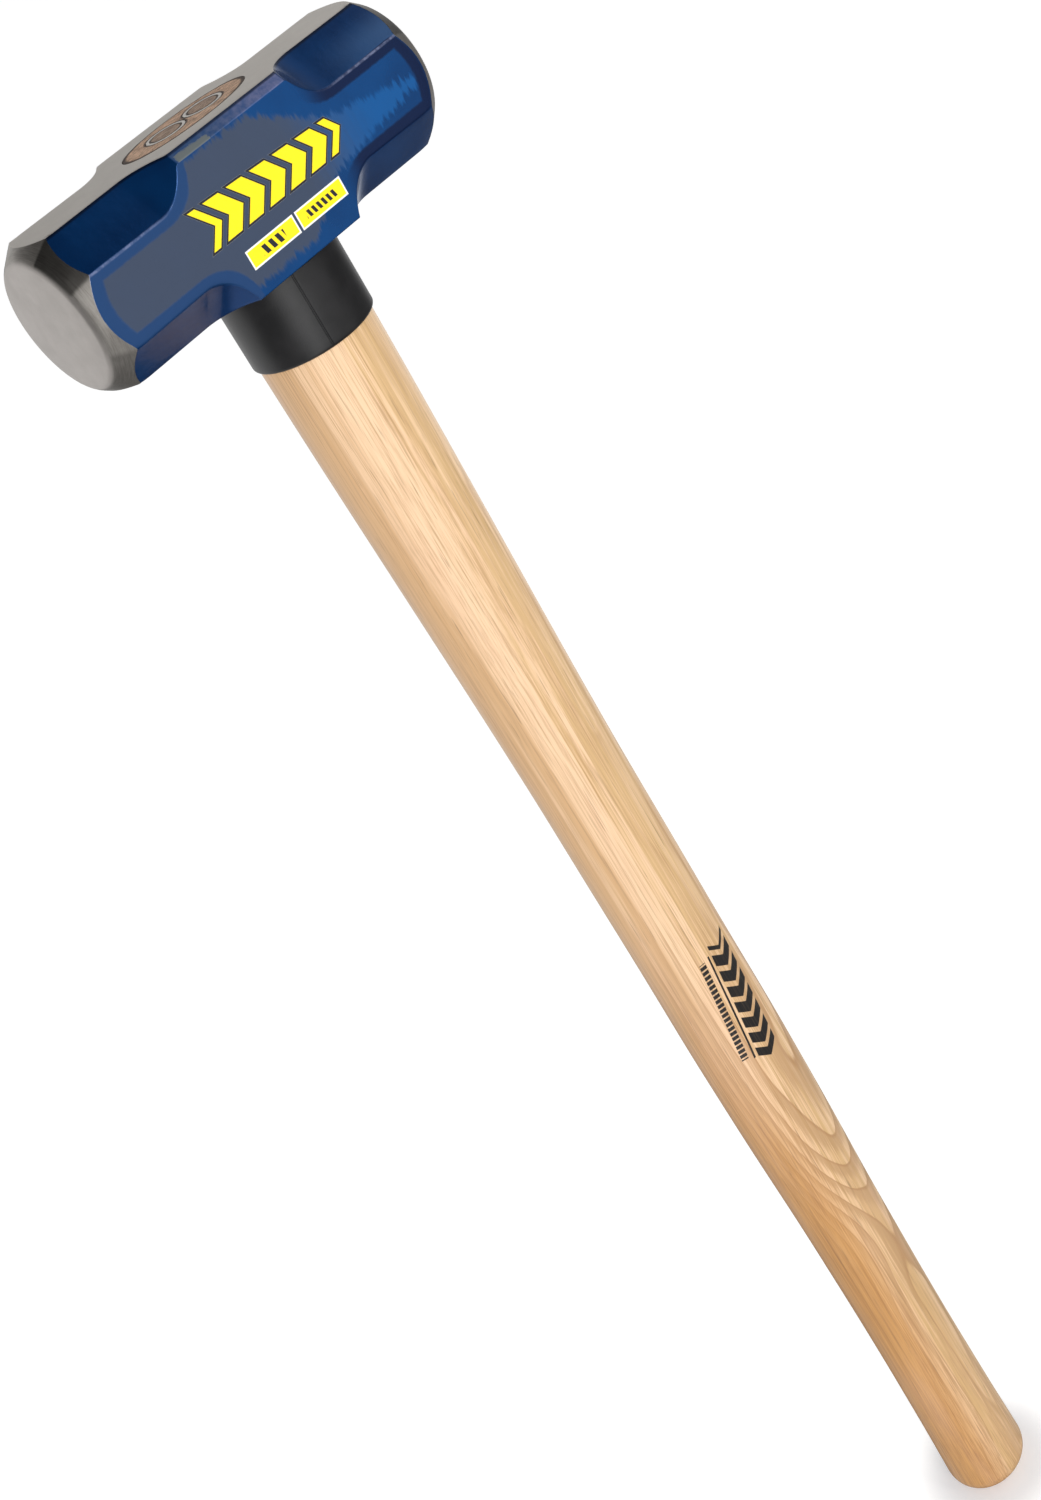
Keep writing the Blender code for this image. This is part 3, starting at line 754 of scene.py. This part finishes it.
# ---- Collar -------------------------------------------------------------------------------------
# A moulded black rubber sleeve pushed up the handle against the head, where missed blows land.  Its
# lower rim is slightly rounded and a fine mould line runs down it.
collar_low, collar_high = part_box("collar")
COLLAR_RADIUS = (collar_high.x - collar_low.x) / 2
COLLAR_RIM = 1.3 * MM


def collar_wall():
    """Outside from the lower rim up, then the bore back down, as (z, half length, half width)."""
    outside = []
    for i in range(9):
        turn = math.pi / 2 * i / 8
        edge = COLLAR_RADIUS - COLLAR_RIM * (1 - math.sin(turn))
        outside.append((collar_low.z + COLLAR_RIM * (1 - math.cos(turn)), edge, edge))
    for height in np.linspace(collar_low.z + COLLAR_RIM, collar_high.z - 0.5 * MM, 14)[1:]:
        outside.append((height, COLLAR_RADIUS, COLLAR_RADIUS))
    outside.append((collar_high.z, COLLAR_RADIUS - 0.5 * MM, COLLAR_RADIUS - 0.5 * MM))
    fitted = np.array([s for s in handle_sections() if s[0] < head_low.z])
    inside = []
    for height in np.linspace(collar_high.z, collar_low.z, 24):
        a, b = (float(np.interp(height, fitted[:, 0], fitted[:, k])) + GAP for k in (1, 2))
        inside.append((height, a, b))
    return outside + inside


rings = oval_rings(collar_wall(), ROUND_POINTS)
collar_bm = bmesh.new()
grid = [[collar_bm.verts.new(point) for point in ring] for ring in rings]
for lower, upper in zip(grid, grid[1:] + grid[:1]):
    for i in range(ROUND_POINTS):
        j = (i + 1) % ROUND_POINTS
        collar_bm.faces.new((lower[i], lower[j], upper[j], upper[i]))
bmesh.ops.recalc_face_normals(collar_bm, faces=collar_bm.faces)
collar = add_piece("rubber_collar", collar_bm)
settle(collar, SHARP_EDGE)

material, shader, place = new_finish("black_rubber", (0.0, 0.0, HEAD_Z))
x, y, z = place.parts()
skin_noise = place.noise((2.2, 2.2, 2.2), 3.0)
cloud = place.noise((0.10, 0.10, 0.10), 3.0)
seam = 1.0 - abs(x + 7.6).eased(0.1, 0.45)
seam = seam * (y < 0.0)
feed(
    shader, Base_Color=cloud.eased(0.3, 0.7).mix((0.0045, 0.0045, 0.005), (0.0100, 0.0095, 0.0105)),
    Roughness=0.30 + skin_noise * 0.10 + cloud * 0.06,
    Normal=(skin_noise * 0.03 + seam * 0.25).bump(1.0, MM))
shader.inputs["Specular IOR Level"].default_value = 0.65
collar.data.materials.clear()
collar.data.materials.append(material)
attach(collar, "root")
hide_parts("collar")

# ---- Floor, light and camera --------------------------------------------------------------------
# A wide floor level with the butt, glowing evenly except for a small painted shadow round it, where the glow
# is dimmer.
# The surround is plain white behind the hammer and a darker room in what it reflects.  Two soft lamps stand
# in front.
floor_bm = bmesh.new()
bmesh.ops.create_grid(floor_bm, x_segments=1, y_segments=1, size=9.0)
bmesh.ops.translate(floor_bm, vec=(0.0, 0.0, BUTT_Z - 0.2 * MM), verts=floor_bm.verts)
floor = add_piece("floor", floor_bm)
floor_finish = bpy.data.materials.new("floor_finish")
floor_finish.use_nodes = True
floor_shader = floor_finish.node_tree.nodes["Principled BSDF"]
floor_shader.inputs["Base Color"].default_value = (0.80, 0.80, 0.80, 1.0)
floor_shader.inputs["Roughness"].default_value = 0.9
floor_tree = floor_finish.node_tree
floor_place = Wire(floor_tree, floor_tree.nodes.new("ShaderNodeTexCoord").outputs["Object"])
floor_x, floor_y, _ = floor_place.parts()
butt_distance = (floor_x * floor_x + floor_y * floor_y).root()
# Painted shadow: the floor's glow is dimmer and greyer close round the butt.
feed(floor_shader, Emission_Color=butt_distance.eased(0.021, 0.046).mix((0.36, 0.38, 0.42), (1.0, 1.0, 1.0)))
floor_shader.inputs["Emission Strength"].default_value = 0.62
floor.data.materials.append(floor_finish)
floor.visible_glossy = False

world = bpy.data.worlds.new("studio")
bpy.context.scene.world = world
world.use_nodes = True
sky = world.node_tree
background = sky.nodes["Background"]
direction = Wire(sky, sky.nodes.new("ShaderNodeTexCoord").outputs["Generated"])
dx, dy, dz = direction.parts()
glossy = Wire(sky, sky.nodes.new("ShaderNodeLightPath").outputs["Is Glossy Ray"])
back = dy.eased(0.25, 0.60)
front = (0.0 - dy).eased(0.45, 0.85) * (1.0 - abs(dz).eased(0.30, 0.55))
left_front = (0.0 - dx).eased(0.25, 0.45) * (1.0 - (0.0 - dx).eased(0.60, 0.85)) * (0.0 - dy).eased(0.3, 0.6)
below = (0.0 - dz).eased(0.45, 0.75)
overhead = dz.eased(0.28, 0.60)
room = 0.14 + back * 0.74 + front * 0.40 + left_front * 0.95
under = 0.05 + dx.eased(0.36, 0.56) * 0.13 + (0.0 - dx).eased(0.0, 0.25) * 0.44
over = 0.04 + dx.eased(0.42, 0.56) * 0.30
room = room * (1.0 - below) * (1.0 - overhead) + below * under + overhead * over
soft = 0.52 + (0.0 - dy).eased(-0.5, 1.0) * 0.20 - dz.eased(0.3, 1.0) * 0.16
strength = glossy * room + (1.0 - glossy) * soft
seen = Wire(sky, sky.nodes.new("ShaderNodeLightPath").outputs["Is Camera Ray"])
strength = seen.most(strength * (1.0 - seen))
sky.links.new(strength.socket, background.inputs["Strength"])
background.inputs["Color"].default_value = (1.0, 1.0, 1.0, 1.0)


def soft_lamp(name, place, aim, size, power):
    data = bpy.data.lights.new(name, "AREA")
    data.shape = "RECTANGLE"
    data.size, data.size_y = size
    data.energy = power
    lamp = bpy.data.objects.new(name, data)
    bpy.context.scene.collection.objects.link(lamp)
    lamp.location = place
    lamp.rotation_euler = (Vector(aim) - Vector(place)).to_track_quat("-Z", "Y").to_euler()


soft_lamp("key", (-0.9, -2.3, 1.2), (0.0, 0.0, 0.3), (1.1, 1.5), 30.0)
soft_lamp("edge_light", (0.25, -2.15, 1.72), (0.0, 0.0, 0.6), (0.20, 0.55), 3.0)

CAMERA_PLACE = (-331.33 * MM, -611.94 * MM, HEAD_Z + 161.64 * MM)
CAMERA_RIGHT = (0.63705, -0.62242, -0.45471)
CAMERA_DOWN = (-0.66063, -0.13693, -0.73812)
SENSOR = 36.0
FOCAL_LENGTH = 49.92                # an estimate, chosen together with the overall length
right, down = Vector(CAMERA_RIGHT), Vector(CAMERA_DOWN)
forward = right.cross(down)
camera_data = bpy.data.cameras.new("camera")
camera_data.sensor_fit = "VERTICAL"
camera_data.sensor_width = camera_data.sensor_height = SENSOR
camera_data.lens = FOCAL_LENGTH
camera = bpy.data.objects.new("camera", camera_data)
bpy.context.scene.collection.objects.link(camera)
camera_turn = Matrix((right, -down, -forward)).transposed().to_4x4()
camera.matrix_world = Matrix.Translation(CAMERA_PLACE) @ camera_turn
bpy.context.scene.camera = camera
bpy.context.scene.view_settings.view_transform = "Standard"
